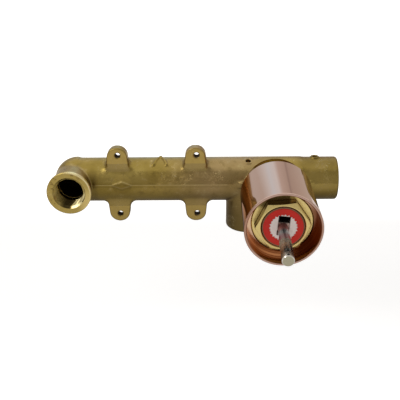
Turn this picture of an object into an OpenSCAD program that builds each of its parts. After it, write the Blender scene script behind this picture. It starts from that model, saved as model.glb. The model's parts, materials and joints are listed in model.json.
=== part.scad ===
// Concealed valve body for a wall-mounted single-lever mixer, in millimetres.
// +X runs along the tube to the cold inlet, +Z is up and -Y faces the room.
// The origin is the centre of the four fixing holes, on the back plane of the lugs.
// Depths named with the word reach are measured from the tube axis towards the room.

/* [Tube and elbow] */
// Outside diameter of the cast tube
tube_d = 30; // [29:0.5:32]
// Diameter of the mixed-water way inside the tube
waterway_d = 17; // [14:0.5:18]
// Distance of the outlet elbow from the lug centre
elbow_x = 57.8; // [50:0.1:66]
// Diameter of the elbow's round corner
elbow_d = 31.4; // [31:0.1:32]
// Offset of the round corner's centre from the outlet's axis, towards the lugs
elbow_shift = 2.3; // [0:0.1:3]
// Outside diameter of the elbow's arm
arm_d = 26.4; // [25:0.1:28]
// Reach of the machined outlet face
outlet_reach = 25.6; // [22:0.1:32]
// Outside diameter of the machined outlet ring
outlet_d = 29.4; // [28:0.1:31]
// Length of the machined outlet ring
outlet_ring_h = 2; // [1:0.1:4]
// Distance of the cold inlet face from the lug centre
inlet_x = 121.2; // [112:0.1:132]
// Outside diameter of the tube at the cold inlet
cold_end_d = 29.4; // [29:0.1:30]
// Distance of the hot inlet's axis from the lug centre
hot_x = 61; // [58:0.1:64]
// Outside diameter of the hot inlet stub
hot_d = 29.6; // [27:0.1:29.8]
// Drop of the hot inlet face below the tube axis
hot_drop = 34.6; // [30:0.1:42]

/* [Pipe threads] */
// Bore of the half-inch female thread at its crests
pipe_bore_d = 18.63; // [18.4:0.01:19]
// Diameter of the chamfer at the mouth of each thread
pipe_mouth_d = 20.96; // [20.5:0.01:22]
// Depth of the thread in each port
pipe_depth = 14; // [12:0.5:16]

/* [Fixing lugs] */
// Distance between the left and right fixing holes
lug_pitch_x = 52.6; // [48:0.1:60]
// Distance between the upper and lower fixing holes
lug_pitch_z = 42; // [40:0.1:46]
// Diameter of the fixing holes
lug_hole_d = 3.6; // [3:0.1:4.5]
// Reach of the lugs' back plane
lug_back_reach = 4.5; // [3:0.1:6]
// Thickness of a lug
lug_t = 6.5; // [5:0.1:8]
// Half width of a lug at its hole
lug_half = 6.95; // [6.95:0.05:7.6]
// Height of a lug's tip above the tube axis
lug_top = 26.45; // [26:0.1:28]
// Corner radius of the left lugs' tips
lug_round_left = 6.8; // [4:0.1:6.9]
// Corner radius of the right lugs' tips
lug_round_right = 6.5; // [4:0.1:6.9]
// Slope of a lug's sides from the vertical
lug_slope = 6; // [3:0.5:9]
// Radius of the casting fillet between a lug and the tube
lug_fillet = 4.3; // [2:0.1:5]
// Height of the clean pad on a lug's face
lug_pad_h = 0.4; // [0.2:0.1:0.8]

/* [Cartridge housing] */
// Distance of the cartridge axis from the lug centre
cart_x = 78.1; // [76:0.1:80]
// Outside diameter of the cartridge housing
housing_d = 41; // [40.6:0.1:41.2]
// Reach of the housing's front rim
housing_reach = 69.5; // [69.3:0.1:69.7]
// Reach of the seat that the cartridge stands on
seat_reach = 36.4; // [36.3:0.05:36.4]
// Bore of the housing round the cartridge
housing_bore_d = 35; // [35:0.1:35.4]
// Bore of the housing at the nut's thread
nut_thread_bore_d = 36.1; // [36:0.05:36.4]

/* [Shroud] */
// Outside diameter of the shroud
shroud_d = 46.8; // [46:0.1:48]
// Reach of the shroud's back edge
shroud_back = 29.5; // [28:0.1:32]
// Reach of the shroud's front rim
shroud_front = 82.8; // [80:0.1:86]
// Bore of the shroud in front of its inner lip
shroud_front_bore = 43.6; // [43:0.1:44.4]
// Bore of the shroud over the housing
shroud_rear_bore = 41.6; // [41.4:0.1:42]
// Bore of the shroud's inner lip
shroud_lip_bore = 37.8; // [37.4:0.1:39]

/* [Cartridge] */
// Outside diameter of the cartridge
cartridge_d = 34.6; // [34.4:0.1:34.8]
// Bore of the three water ports
port_d = 6.5; // [6:0.1:7]
// Bore of the cartridge nut
nut_bore_d = 26; // [25.8:0.1:26.2]
// Width of the nut's hexagon across its flats
nut_hex = 29; // [28.4:0.1:31]
// Outside diameter of the temperature limit ring
limit_ring_d = 23.3; // [23:0.1:23.4]
// Number of teeth between the lever guide and the limit ring
limit_teeth = 44; // [30:2:48]

/* [Lever] */
// Downward tilt of the closed lever
lever_rest_tilt = 5; // [4:0.5:6]
// Clockwise turn of the lever from the middle of its range
lever_rest_turn = 6; // [0:1:12]
// Swing of the lever from closed to fully open
lever_lift = 22; // [18:1:22]
// Turn of the lever from the middle to each end
lever_turn = 50; // [30:1:50]
// Length of the lever from its pivot to its tip
lever_length = 46.4; // [40:0.1:52]
// Diameter of the lever pin at its root
pin_root_d = 5.9; // [5.4:0.1:6]
// Diameter of the lever pin at its tip
pin_tip_d = 7.2; // [6.6:0.1:7.6]

/* [Hidden] */
$fn = 72;
// Overlap that keeps cutting bodies clear of the faces they cut
cut = 1;
tube_r = tube_d / 2;
tube_from = -elbow_x + elbow_shift;
elbow_step = 1.3;
outlet_cone_h = 2.3;
end_chamfer = 0.8;
// Casting shift of the lugs' outlines against their drilled holes
lug_shift_x = [-0.4, -0.75];
lug_shift_z = -0.15;
// Web between the tube and the housing, on the casting's parting plane
web_r = 6;
web_low = -1.2;
web_high = 3.4;
// Waterways through the cored middle of the casting
way_end_x = cart_x - 33;
outlet_way_reach = -6;
cold_way_x = cart_x + 18;
cold_end_x = cart_x + 19.5;
channel_d = 8;
mixed_channel_z = 5.5;
inlet_channel_z = -5;
hot_rise_d = 13;
cold_rise_d = 14;
// Ports in the seat, as seen from the room: mixed above, hot left and cold right
mixed_port = [0, 7.2];
hot_port = [-6.4, -4.8];
cold_port = [6.4, -4.8];
PORTS = [mixed_port, hot_port, cold_port];
// Raised cast marks and small bosses
flash_h = 0.25;
flash_w = 0.8;
parting_z = 1.3;
mark_h = 0.6;
chevron_h = 1.3;
chevron_x = 1.7;
chevron_shift = 2.3;
chevron_w = 11;
chevron_l = 12.3;
chevron_rib = 1.7;
lozenge_x = -24;
lozenge_w = 14;
lozenge_h = 4.8;
top_hole_d = 3.3;
top_hole_depth = 4;
top_hole_rim = 0.6;
// Lean of the left top hole towards the room
top_hole_lean = 18;
boss_x = 106.2;
boss_d = 6.2;
boss_h = 1;
// Parts of the cartridge along its own axis, as reaches
gap = 0.1;
base_h = 6;
base_flange_h = 1.8;
disc_h = 4;
base_reach = seat_reach + gap;
fixed_reach = base_reach + base_h + gap / 2;
moving_reach = fixed_reach + disc_h + gap;
carrier_reach = moving_reach + disc_h + gap / 2;
carrier_h = 7.3;
guide_reach = carrier_reach + carrier_h + 0.3;
guide_flange_h = 3.2;
shoulder_reach = 63.8;
shoulder_t = 2;
nut_thread_reach = shoulder_reach - 0.4;
neck_reach = 78.6;
neck_d = 25.2;
shell_bore_d = 31;
guide_d = 20.56;
guide_bore_d = 20.7;
guide_flange_d = 26.8;
pivot_reach = 67;
pivot_d = 2.6;
ball_arm = 12.5;
ball_r = 3;
// Shift of the ball end, and so of the moving disc, when the lever is closed
disc_rest_shift = ball_arm * sin(lever_rest_tilt);
seal_d = 9.6;
seal_bore_d = 6.6;
seal_h = 1.5;
peg_d = 2.9;
peg_h = 2.5;
peg_hole_h = 3;
peg_pos = [13, 4.6];
kidney_r = norm(hot_port);
kidney_w = 2.6;
kidney_span = 48;
hot_angle = atan2(hot_port[1], hot_port[0]);
cold_angle = atan2(cold_port[1], cold_port[0]);
moving_d = 21;
carrier_d = 20.6;
head_reach = 75.6;
head_front = 79;
// Slot of the lever guide: half width, and its ends below and above the axis
stem_block_half_h = 2.6;
open_tilt = lever_lift - lever_rest_tilt;
slot_half_w = 3.6;
slot_low = -5.3;
slot_high = (head_front - pivot_reach) * tan(open_tilt) + stem_block_half_h / cos(open_tilt) + 0.9;
ring_back = 75.9;
ring_front = 78.7;
tooth_h = 0.75;
tooth_root_r = 7.85;
tooth_gap = 0.12;
tab_r = [10.5, 11.5];
tab_depth = 2.2;
tab_span = 14;
ring_seat_reach = 75.7;
guide_ring_reach = 72;
guide_ring_r = 0.55;
// Shroud seals on the housing
shroud_ring_r = 0.79;
shroud_ring_reaches = [60, 40];
groove_w = 2.2;
groove_root_r = housing_d / 2 - 1.35;
lip_t = 2;
lip_reach = housing_reach + 0.3;
// Nut
nut_back = shoulder_reach + gap;
nut_flange_back = housing_reach + 0.05;
nut_flange_front = 71.7;
nut_front = 78.8;
nut_flange_d = 37;
nut_hex_turn = 4;
// Lever pin and its two grub screws, measured from the pivot along the lever
stem_block_end = 9.4;
spigot_d = 4;
spigot_end = 19.5;
pin_start = 9.6;
stem_screw_at = 12.4;
stem_screw_turn = 135;
handle_screw_from_tip = 6.6;
screw_d = 3.3;
screw_hex = 1.6;

// Places children at a reach on an axis that faces the room
module facing_room(x, reach) {
    translate([x, lug_back_reach - reach, 0]) rotate([90, 0, 0]) children();
}

// Places children on the cartridge axis, with their own z as the reach
module on_cartridge(reach = 0) {
    facing_room(cart_x, reach) children();
}

// Turns children with the lever guide to its position at rest
module turned(reach = 0) {
    on_cartridge(reach) rotate([0, 0, -lever_rest_turn]) children();
}

// Tilts children with the lever, with their own z along it from the pivot
module tilted() {
    turned(pivot_reach) rotate([lever_rest_tilt, 0, 0]) children();
}

// Places children on the tube axis, with their own z along the tube
module along_tube(x) {
    translate([x, lug_back_reach, 0]) rotate([0, 90, 0]) children();
}

// A plain ring between two diameters
module ring(outer_d, inner_d, h) {
    difference() {
        cylinder(h = h, d = outer_d);
        translate([0, 0, -cut]) cylinder(h = h + 2 * cut, d = inner_d);
    }
}

// A round seal of circular section
module o_ring(middle_r, section_r) {
    rotate_extrude() translate([middle_r, 0]) circle(r = section_r, $fn = 32);
}

// A threaded port that opens at z = 0 and goes down: chamfer, thread and the way behind it
module pipe_port(way_d, way_depth) {
    chamfer = (pipe_mouth_d + 0.6 - pipe_bore_d) / 2;
    translate([0, 0, -chamfer])
        cylinder(h = chamfer + 0.01, d1 = pipe_bore_d, d2 = pipe_bore_d + 2 * chamfer);
    translate([0, 0, -pipe_depth]) cylinder(h = pipe_depth + cut, d = pipe_bore_d);
    translate([0, 0, -way_depth]) cylinder(h = way_depth, d = way_d);
}

// Outline of one upper lug, in the plane of the wall
module lug_outline(corner_r) {
    corner_z = lug_top - corner_r;
    root_z = 9;
    root_half = lug_half + (corner_z - root_z) * tan(lug_slope);
    polygon([
        [-root_half, root_z], [root_half, root_z],
        for (a = [0:10:90]) [lug_half - corner_r * (1 - cos(a)), corner_z + corner_r * sin(a)],
        for (a = [90:-10:0]) [-lug_half + corner_r * (1 - cos(a)), corner_z + corner_r * sin(a)]
    ]);
}

// Casting fillet that follows the tube's surface on both sides of a lug
module lug_root() {
    blend = 0.3;
    root_half = lug_half + (lug_top - lug_round_left - tube_r) * tan(lug_slope);
    half = root_half + lug_fillet - blend;
    ring_r = tube_r + lug_fillet - blend;
    intersection() {
        translate([0, lug_back_reach, 0]) rotate([0, 90, 0]) rotate_extrude() difference() {
            translate([0, -half]) square([ring_r, 2 * half]);
            for (side = [-1, 1]) translate([ring_r, side * half]) circle(r = lug_fillet);
        }
        translate([-2 * half, -lug_t, 0]) cube([4 * half, lug_t, ring_r]);
    }
}

// One upper lug with its root and its clean pad
module lug(corner_r) {
    pad_low = 15;
    rotate([90, 0, 0]) linear_extrude(lug_t) lug_outline(corner_r);
    translate([0, -lug_t + 0.01, 0]) rotate([90, 0, 0])
        linear_extrude(lug_pad_h) intersection() {
            lug_outline(corner_r);
            translate([-2 * lug_half, pad_low]) square([4 * lug_half, lug_top]);
        }
    lug_root();
}

// The four drilled holes in the lugs
module lug_holes() {
    for (side = [-1, 1], end = [-1, 1])
        translate([side * lug_pitch_x / 2, cut, end * lug_pitch_z / 2]) rotate([90, 0, 0])
            cylinder(h = lug_t + lug_pad_h + 2 * cut, d = lug_hole_d);
}

// Ribs of an arrow head on the crown of the tube, pointing to the wall
module chevron_mark() {
    intersection() {
        along_tube(chevron_x - chevron_w) cylinder(h = 2 * chevron_w, r = tube_r + chevron_h);
        translate([chevron_x, lug_back_reach - chevron_shift, tube_r - 4])
            linear_extrude(5)
                for (side = [-1, 1]) scale([side, 1])
                    polygon([[0, chevron_l / 2], [chevron_w / 2, -chevron_l / 2],
                        [chevron_w / 2 - chevron_rib, -chevron_l / 2],
                        [0, chevron_l / 2 - 1.9 * chevron_rib]]);
    }
}

// Raised lozenge on the parting line, between the left lugs
module lozenge_mark() {
    intersection() {
        along_tube(lozenge_x - lozenge_w) cylinder(h = 2 * lozenge_w, r = tube_r + mark_h);
        translate([lozenge_x, 0, parting_z]) rotate([90, 0, 0])
            linear_extrude(2 * tube_r)
                polygon([[-lozenge_w / 2, 0], [0, lozenge_h / 2], [lozenge_w / 2, 0],
                    [0, -lozenge_h / 2]]);
    }
}

// Elbow: a round corner on the tube's end, a thinner arm and the machined outlet ring
module elbow() {
    ring_back = outlet_reach - outlet_ring_h;
    along_tube(tube_from) rotate_extrude() intersection() {
        circle(d = elbow_d);
        translate([0, -elbow_d]) square([elbow_d, elbow_d + elbow_step]);
    }
    facing_room(-elbow_x, 0) cylinder(h = ring_back - outlet_cone_h + 0.1, d = arm_d);
    facing_room(-elbow_x, ring_back - outlet_cone_h)
        cylinder(h = outlet_cone_h, d1 = arm_d, d2 = outlet_d);
    facing_room(-elbow_x, ring_back) cylinder(h = outlet_ring_h, d = outlet_d);
}

// Cup that holds the cartridge, with a web to the tube on the parting plane
module housing() {
    neck_reach_start = 9;
    cup_reach = 17;
    rim_chamfer = 0.8;
    facing_room(cart_x, neck_reach_start)
        cylinder(h = cup_reach - neck_reach_start, d1 = 32, d2 = housing_d);
    facing_room(cart_x, cup_reach)
        cylinder(h = housing_reach - cup_reach - rim_chamfer, d = housing_d);
    facing_room(cart_x, housing_reach - rim_chamfer)
        cylinder(h = rim_chamfer, d1 = housing_d, d2 = housing_d - 1.5 * rim_chamfer);
    intersection() {
        facing_room(cart_x, tube_r - 2)
            rotate_extrude() difference() {
                square([housing_d / 2 + web_r, web_r + 2]);
                translate([housing_d / 2 + web_r, web_r + 2]) circle(r = web_r);
            }
        translate([cart_x - housing_d, -2 * housing_d, web_low])
            cube([2 * housing_d, 2 * housing_d, web_high - web_low]);
    }
}

// Thin ridge on both sides of the tube, where the casting mould's halves met
module parting_flash(from_x, to_x, r) {
    intersection() {
        along_tube(from_x) cylinder(h = to_x - from_x, r = r + flash_h);
        translate([from_x, -tube_d, parting_z - flash_w / 2])
            cube([to_x - from_x, 2 * tube_d + 2 * lug_back_reach, flash_w]);
    }
}

// Everything that is cut out of the casting for water and for the cartridge
module waterways() {
    channel_end = channel_d / 2;
    cold_port_x = cart_x + cold_port[0];
    hot_port_x = cart_x + hot_port[0];
    facing_room(-elbow_x, outlet_reach)
        pipe_port(waterway_d + 1, outlet_reach - outlet_way_reach);
    along_tube(-elbow_x) cylinder(h = elbow_x + way_end_x, d = waterway_d);
    along_tube(way_end_x - channel_end) translate([-mixed_channel_z, 0, 0])
        cylinder(h = cart_x - way_end_x + 2 * channel_end, d = channel_d);
    along_tube(inlet_x) pipe_port(cold_rise_d, inlet_x - cold_way_x);
    along_tube(cold_port_x) translate([-inlet_channel_z, 0, 0])
        cylinder(h = cold_way_x - cold_port_x + channel_end, d = channel_d);
    translate([hot_x, lug_back_reach, -hot_drop]) rotate([180, 0, 0])
        pipe_port(hot_rise_d, hot_drop + inlet_channel_z + channel_end - cut);
    along_tube(hot_x) translate([-inlet_channel_z, 0, 0])
        cylinder(h = hot_port_x - hot_x, d = channel_d);
    for (port = PORTS)
        on_cartridge() translate(port) cylinder(h = seat_reach + cut, d = port_d);
    on_cartridge(seat_reach) cylinder(h = housing_reach, d = housing_bore_d);
    on_cartridge(nut_thread_reach) cylinder(h = housing_reach, d = nut_thread_bore_d);
    for (side = [-1, 1])
        on_cartridge(seat_reach - peg_hole_h) translate([side * peg_pos[0], peg_pos[1], 0])
            cylinder(h = peg_hole_h + cut, d = peg_d + 2 * gap);
}

// Places children on the axis of the left top hole, with their own z from the tube axis
module leaning_hole() {
    translate([hot_x, lug_back_reach, 0]) rotate([top_hole_lean, 0, 0]) children();
}

// One casting: tube, elbow, lugs, housing, hot inlet and its cast marks
module valve_body() {
    color("darkkhaki") difference() {
        union() {
            along_tube(tube_from) cylinder(h = cold_end_x - tube_from, d = tube_d);
            along_tube(cold_end_x)
                cylinder(h = inlet_x - cold_end_x - end_chamfer, d = cold_end_d);
            along_tube(inlet_x - end_chamfer)
                cylinder(h = end_chamfer, d1 = cold_end_d, d2 = cold_end_d - 2 * end_chamfer);
            parting_flash(-elbow_x + tube_r, cold_end_x, tube_r);
            parting_flash(cold_end_x, inlet_x - end_chamfer, cold_end_d / 2);
            elbow();
            for (side = [0, 1], end = [0, 1])
                translate([(side - 0.5) * lug_pitch_x + lug_shift_x[side], 0, lug_shift_z])
                    mirror([0, 0, end]) lug(side == 0 ? lug_round_left : lug_round_right);
            housing();
            translate([hot_x, lug_back_reach, -hot_drop + end_chamfer])
                cylinder(h = hot_drop, d = hot_d);
            translate([hot_x, lug_back_reach, -hot_drop])
                cylinder(h = end_chamfer, d1 = hot_d - 2 * end_chamfer, d2 = hot_d);
            translate([boss_x, lug_back_reach, 10]) cylinder(h = tube_r - 10 + boss_h, d = boss_d);
            leaning_hole() cylinder(h = tube_r + top_hole_rim, d = boss_d);
            chevron_mark();
            lozenge_mark();
        }
        waterways();
        lug_holes();
        leaning_hole() translate([0, 0, tube_r + top_hole_rim - top_hole_depth])
            cylinder(h = top_hole_depth + cut, d = top_hole_d);
        translate([boss_x, lug_back_reach, tube_r + boss_h - top_hole_depth])
            cylinder(h = top_hole_depth + cut, d = top_hole_d);
        for (reach = shroud_ring_reaches)
            on_cartridge(reach - groove_w / 2) ring(housing_d + 2, 2 * groove_root_r, groove_w);
    }
}

// Polished sleeve over the housing, with a lip that rests on the housing's rim
module shroud() {
    round_r = 0.6;
    color("rosybrown") on_cartridge() rotate_extrude() polygon([
        [shroud_rear_bore / 2, shroud_back], [shroud_d / 2 - round_r, shroud_back],
        [shroud_d / 2, shroud_back + round_r], [shroud_d / 2, shroud_front - round_r],
        for (a = [15:30:75]) [shroud_d / 2 - round_r * (1 - cos(a)),
            shroud_front - round_r * (1 - sin(a))],
        [shroud_d / 2 - round_r, shroud_front],
        [shroud_front_bore / 2 + 0.3, shroud_front],
        [shroud_front_bore / 2, shroud_front - 0.3],
        [shroud_front_bore / 2, lip_reach + lip_t],
        [shroud_lip_bore / 2, lip_reach + lip_t], [shroud_lip_bore / 2, lip_reach],
        [shroud_rear_bore / 2, lip_reach]
    ]);
}

module shroud_o_ring_front() {
    color("dimgray") on_cartridge(shroud_ring_reaches[0])
        o_ring(shroud_rear_bore / 2 - shroud_ring_r - 0.02, shroud_ring_r);
}

module shroud_o_ring_rear() {
    color("dimgray") on_cartridge(shroud_ring_reaches[1])
        o_ring(shroud_rear_bore / 2 - shroud_ring_r - 0.02, shroud_ring_r);
}

// Hexagon with chamfered corners on a flanged and threaded ring
module cartridge_nut() {
    corner_d = nut_hex / cos(30);
    hex_h = nut_front - nut_flange_front;
    color("gold") difference() {
        union() {
            on_cartridge(nut_back + 0.5)
                cylinder(h = nut_flange_back - nut_back, d = nut_thread_bore_d - 0.2);
            on_cartridge(nut_back)
                cylinder(h = 0.5, d1 = nut_thread_bore_d - 1.2, d2 = nut_thread_bore_d - 0.2);
            on_cartridge(nut_flange_back)
                cylinder(h = nut_flange_front - nut_flange_back - 0.4, d = nut_flange_d);
            on_cartridge(nut_flange_front - 0.4)
                cylinder(h = 0.4, d1 = nut_flange_d, d2 = nut_flange_d - 0.8);
            on_cartridge(nut_flange_front - 0.5) intersection() {
                rotate([0, 0, nut_hex_turn]) cylinder(h = hex_h + 0.5, d = corner_d, $fn = 6);
                cylinder(h = hex_h + 0.5, d1 = corner_d + 5.2, d2 = corner_d - 1.4);
            }
        }
        on_cartridge(nut_back - cut) cylinder(h = nut_front, d = nut_bore_d);
        on_cartridge(nut_front - 0.5)
            cylinder(h = 0.51, d1 = nut_bore_d, d2 = nut_bore_d + 1);
    }
}

// Shell of the cartridge: skirt, shoulder under the nut, and the neck with the ring's seat
module cartridge_housing() {
    skirt_back = base_reach + base_flange_h + gap;
    stop_span = 2 * lever_turn + tab_span + 1;
    color("burlywood") difference() {
        union() {
            on_cartridge(skirt_back)
                cylinder(h = shoulder_reach - skirt_back - 0.6, d = cartridge_d);
            on_cartridge(shoulder_reach - 0.6)
                cylinder(h = 0.6, d1 = cartridge_d, d2 = cartridge_d - 1.2);
            on_cartridge(shoulder_reach - cut)
                cylinder(h = neck_reach - shoulder_reach + cut, d = neck_d);
        }
        on_cartridge(skirt_back - cut)
            cylinder(h = shoulder_reach - shoulder_t - skirt_back + cut, d = shell_bore_d);
        on_cartridge(shoulder_reach - shoulder_t - cut)
            cylinder(h = 20, d = guide_bore_d);
        on_cartridge(ring_seat_reach) cylinder(h = 10, d = limit_ring_d + 0.4);
        on_cartridge(ring_seat_reach - tab_depth - 0.3)
            rotate([0, 0, 90 - stop_span / 2])
                rotate_extrude(angle = stop_span) translate([tab_r[0] - 0.6, 0])
                    square([tab_r[1] - tab_r[0] + 0.75, tab_depth + 0.4]);
    }
}

// Foot of the cartridge: ports, seal seats on both faces and two locating pegs
module cartridge_base() {
    color("slategray") difference() {
        union() {
            on_cartridge(base_reach) cylinder(h = base_flange_h, d = cartridge_d - 0.2);
            on_cartridge(base_reach) cylinder(h = base_h, d = shell_bore_d - 0.4);
            for (side = [-1, 1])
                on_cartridge(base_reach - peg_h)
                    translate([side * peg_pos[0], peg_pos[1], 0])
                        cylinder(h = peg_h + 0.5, d = peg_d);
        }
        for (port = PORTS) {
            on_cartridge(base_reach - cut) translate(port)
                cylinder(h = base_h + 2 * cut, d = port_d);
            on_cartridge(base_reach - cut) translate(port)
                cylinder(h = seal_h + cut, d = seal_d + 0.1);
            on_cartridge(base_reach + base_h - seal_h) translate(port)
                cylinder(h = seal_h + cut, d = seal_d + 0.1);
        }
    }
}

module port_seals() {
    color("black") for (port = PORTS)
        on_cartridge(seat_reach + 0.02) translate(port) ring(seal_d, seal_bore_d, seal_h);
}

module disc_seals() {
    color("black") for (port = PORTS)
        on_cartridge(base_reach + base_h - seal_h + 0.02) translate(port)
            ring(seal_d, seal_bore_d, seal_h);
}

// Curved slot centred on an angle
module kidney(angle, h) {
    rotate([0, 0, angle - kidney_span / 2])
        rotate_extrude(angle = kidney_span) translate([kidney_r - kidney_w / 2, 0])
            square([kidney_w, h]);
}

// Fixed ceramic disc with two curved inlets and a round outlet
module fixed_disc() {
    color("white") on_cartridge(fixed_reach) difference() {
        cylinder(h = disc_h, d = shell_bore_d - 0.6);
        translate([0, 0, -cut]) kidney(hot_angle, disc_h + 2 * cut);
        translate([0, 0, -cut]) kidney(cold_angle, disc_h + 2 * cut);
        translate([mixed_port[0], mixed_port[1] - 1, -cut])
            cylinder(h = disc_h + 2 * cut, d = port_d - 0.5);
    }
}

// Moving ceramic disc with the mixing chamber in its underside
module moving_disc() {
    chamber_h = 2.2;
    color("gainsboro") turned(moving_reach) translate([0, disc_rest_shift, 0]) difference() {
        cylinder(h = disc_h, d = moving_d);
        translate([0, 1.4, -cut]) cylinder(h = chamber_h + cut, r = 6);
        translate([0, 5.2, -cut]) cylinder(h = chamber_h + cut, r = 4);
        for (side = [-1, 1]) translate([side * 8.6, 0, disc_h - 1]) cylinder(h = 2, d = 2);
    }
}

// Carrier that grips the moving disc and holds the socket for the lever's ball end
module disc_carrier() {
    plate_h = 3;
    color("lightsteelblue") turned(carrier_reach) translate([0, disc_rest_shift, 0]) difference() {
        union() {
            cylinder(h = plate_h, d = carrier_d);
            cylinder(h = carrier_h, d = 12);
            for (side = [-1, 1]) translate([side * 8.6, 0, -0.9]) cylinder(h = 2, d = 1.8);
        }
        translate([0, 0, 0.6]) cylinder(h = carrier_h, r = ball_r + 0.15);
        translate([0, 0, carrier_h - 2.4])
            cylinder(h = 2.41, r1 = ball_r + 0.15, r2 = ball_r + 1.7);
    }
}

// Outline of a ring of small teeth between a root and a tip radius
function tooth_ring(root_r, tip_r, fill) = [
    for (i = [0:limit_teeth - 1], corner = [0:3])
        let (
            pitch = 360 / limit_teeth,
            half = pitch * fill * (corner == 0 || corner == 3 ? 0.5 : 0.32),
            angle = i * pitch + (corner < 2 ? -half : half),
            r = corner == 0 || corner == 3 ? root_r : tip_r
        )
        [r * cos(angle), r * sin(angle)]
];

// Turning guide: flange, bearing journal, toothed head, lever slot and legs for the carrier
module lever_guide() {
    leg_h = 6;
    color("whitesmoke") turned() difference() {
        union() {
            translate([0, 0, guide_reach]) cylinder(h = guide_flange_h, d = guide_flange_d);
            translate([0, 0, guide_reach]) cylinder(h = head_reach - guide_reach, d = guide_d);
            translate([0, 0, head_reach - 0.2]) linear_extrude(head_front - head_reach + 0.2)
                polygon(tooth_ring(tooth_root_r, tooth_root_r + tooth_h, 0.62));
            for (side = [-1, 1])
                translate([side * 11.5 - 1, -5, guide_reach - leg_h]) cube([2, 10, leg_h + 0.5]);
        }
        translate([-slot_half_w, slot_low, guide_reach - cut])
            cube([2 * slot_half_w, slot_high - slot_low, 30]);
        translate([-guide_d, 0, pivot_reach]) rotate([0, 90, 0])
            cylinder(h = 2 * guide_d, d = pivot_d);
        translate([0, 0, guide_ring_reach - 0.65])
            ring(guide_d + 1, guide_d - 4 * guide_ring_r - 0.1, 1.3);
    }
}

module guide_o_ring() {
    color("black") turned(guide_ring_reach)
        o_ring(guide_bore_d / 2 - guide_ring_r - 0.05, guide_ring_r);
}

// Ring that sits on the guide's teeth and carries the stop tab behind it
module temperature_limit_ring() {
    color("red") turned() difference() {
        union() {
            translate([0, 0, ring_back]) cylinder(h = ring_front - ring_back - 0.4, d = limit_ring_d);
            translate([0, 0, ring_front - 0.4])
                cylinder(h = 0.4, d1 = limit_ring_d, d2 = limit_ring_d - 0.8);
            translate([0, 0, ring_back - tab_depth]) rotate([0, 0, 90 - tab_span / 2])
                rotate_extrude(angle = tab_span) translate([tab_r[0], 0])
                    square([tab_r[1] - tab_r[0], tab_depth + 0.5]);
        }
        translate([0, 0, ring_back - cut]) linear_extrude(10)
            polygon(tooth_ring(tooth_root_r + tooth_gap,
                tooth_root_r + tooth_h + tooth_gap, 0.76));
    }
}

module lever_pivot_pin() {
    color("silver") turned(pivot_reach) translate([-9.8, 0, 0]) rotate([0, 90, 0])
        cylinder(h = 19.6, d = pivot_d - 0.02);
}

// Steel stem: ball end, eye on the pivot, square block and the spigot for the pin
module lever_stem() {
    color("lightgray") tilted() difference() {
        union() {
            translate([0, 0, -ball_arm]) sphere(r = ball_r);
            translate([0, 0, -ball_arm]) cylinder(h = ball_arm, r1 = 2, r2 = 2.5);
            translate([-slot_half_w + gap, 0, 0]) rotate([0, 90, 0])
                cylinder(h = 2 * (slot_half_w - gap), r = 3.2);
            translate([-slot_half_w + gap, -stem_block_half_h, 0])
                cube([2 * (slot_half_w - gap), 2 * stem_block_half_h, stem_block_end]);
            cylinder(h = spigot_end, d = spigot_d);
        }
        translate([-5, 0, 0]) rotate([0, 90, 0]) cylinder(h = 10, d = pivot_d + 0.1);
    }
}

// Tapered steel pin that the handle fits on, with a screw hole near each end
module lever_pin() {
    tip_chamfer = 0.5;
    straight_l = 18.8;
    taper_end = lever_length - straight_l;
    color("silver") tilted() difference() {
        union() {
            translate([0, 0, pin_start])
                cylinder(h = taper_end - pin_start, d1 = pin_root_d, d2 = pin_tip_d);
            translate([0, 0, taper_end])
                cylinder(h = lever_length - tip_chamfer - taper_end, d = pin_tip_d);
            translate([0, 0, lever_length - tip_chamfer])
                cylinder(h = tip_chamfer, d1 = pin_tip_d, d2 = pin_tip_d - 2 * tip_chamfer);
        }
        translate([0, 0, pin_start - cut]) cylinder(h = spigot_end - pin_start + 2, d = spigot_d + 0.1);
        translate([0, 0, stem_screw_at]) rotate([0, 90, stem_screw_turn]) cylinder(h = 5, d = 2.1);
        translate([0, 0, lever_length - handle_screw_from_tip]) rotate([-90, 0, 0])
            cylinder(h = 8, d = screw_d);
    }
}

module grub_screw(d, h, hex) {
    difference() {
        cylinder(h = h, d = d);
        translate([0, 0, h - hex * 0.6]) cylinder(h = hex, d = hex, $fn = 6);
    }
}

// Screw that clamps the pin on the stem's spigot
module stem_grub_screw() {
    color("silver") tilted() translate([0, 0, stem_screw_at]) rotate([0, 90, stem_screw_turn])
        translate([0, 0, spigot_d / 2 + 0.02]) grub_screw(2.06, pin_root_d / 2 - spigot_d / 2, 0.9);
}

// Screw near the tip that clamps the handle
module handle_grub_screw() {
    color("dimgray") tilted() translate([0, 0, lever_length - handle_screw_from_tip])
        rotate([-90, 0, 0]) translate([0, 0, 0.05])
            grub_screw(screw_d - 0.04, pin_tip_d / 2 - 0.5, screw_hex);
}

valve_body();
shroud();
shroud_o_ring_front();
shroud_o_ring_rear();
cartridge_nut();
cartridge_housing();
cartridge_base();
port_seals();
disc_seals();
fixed_disc();
moving_disc();
disc_carrier();
lever_guide();
guide_o_ring();
temperature_limit_ring();
lever_pivot_pin();
lever_stem();
lever_pin();
stem_grub_screw();
handle_grub_screw();
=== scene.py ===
import json
import math

import bmesh
import bpy
import numpy as np
from mathutils import Matrix, Vector


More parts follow.
